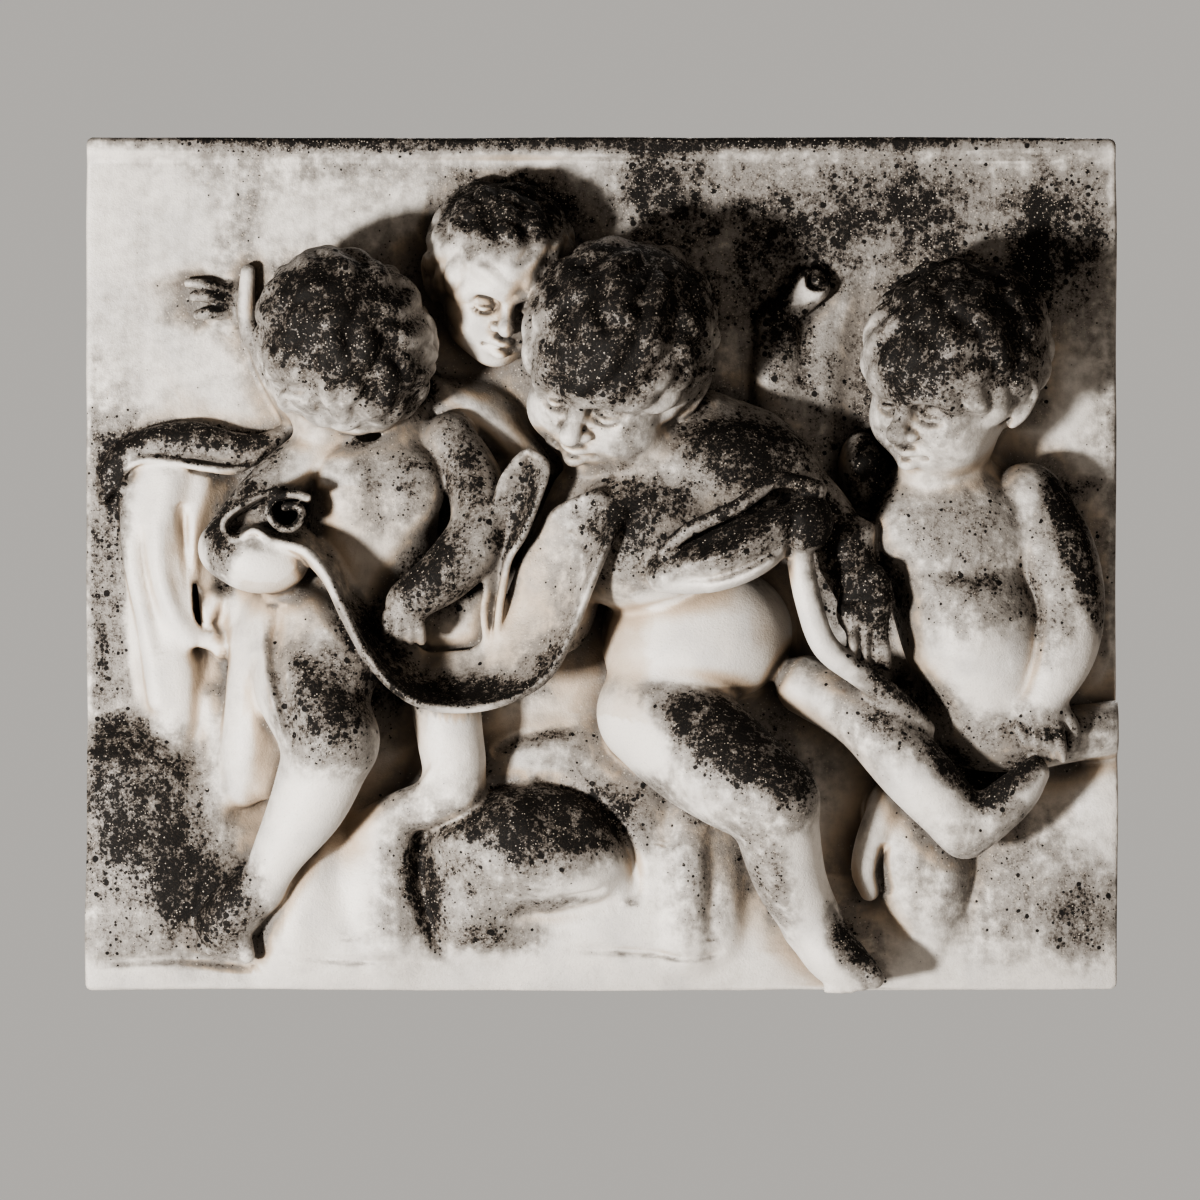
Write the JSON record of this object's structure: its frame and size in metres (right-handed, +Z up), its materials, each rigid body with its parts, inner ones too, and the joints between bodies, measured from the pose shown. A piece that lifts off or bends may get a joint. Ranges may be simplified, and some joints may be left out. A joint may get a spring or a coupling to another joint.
{
  "type": "biscuit porcelain relief",
  "caption": "Rectangular wall relief in weathered white biscuit porcelain: putti playing with a swag of cloth on rocks, in high relief on a plain slab.",
  "frame": {"origin": "centre of the flat back, on the wall face", "axes": "+X along the long edge, to the right seen from the front; +Z up; +Y into the wall, so the figures face -Y"},
  "size_m": [0.62, 0.1419, 0.513],
  "materials": {
    "weathered_biscuit": "matt unglazed white biscuit porcelain with black and brown lichen on faces that look up"
  },
  "bodies": {
    "root": {"relief": "weathered_biscuit"}
  },
  "joints": []
}
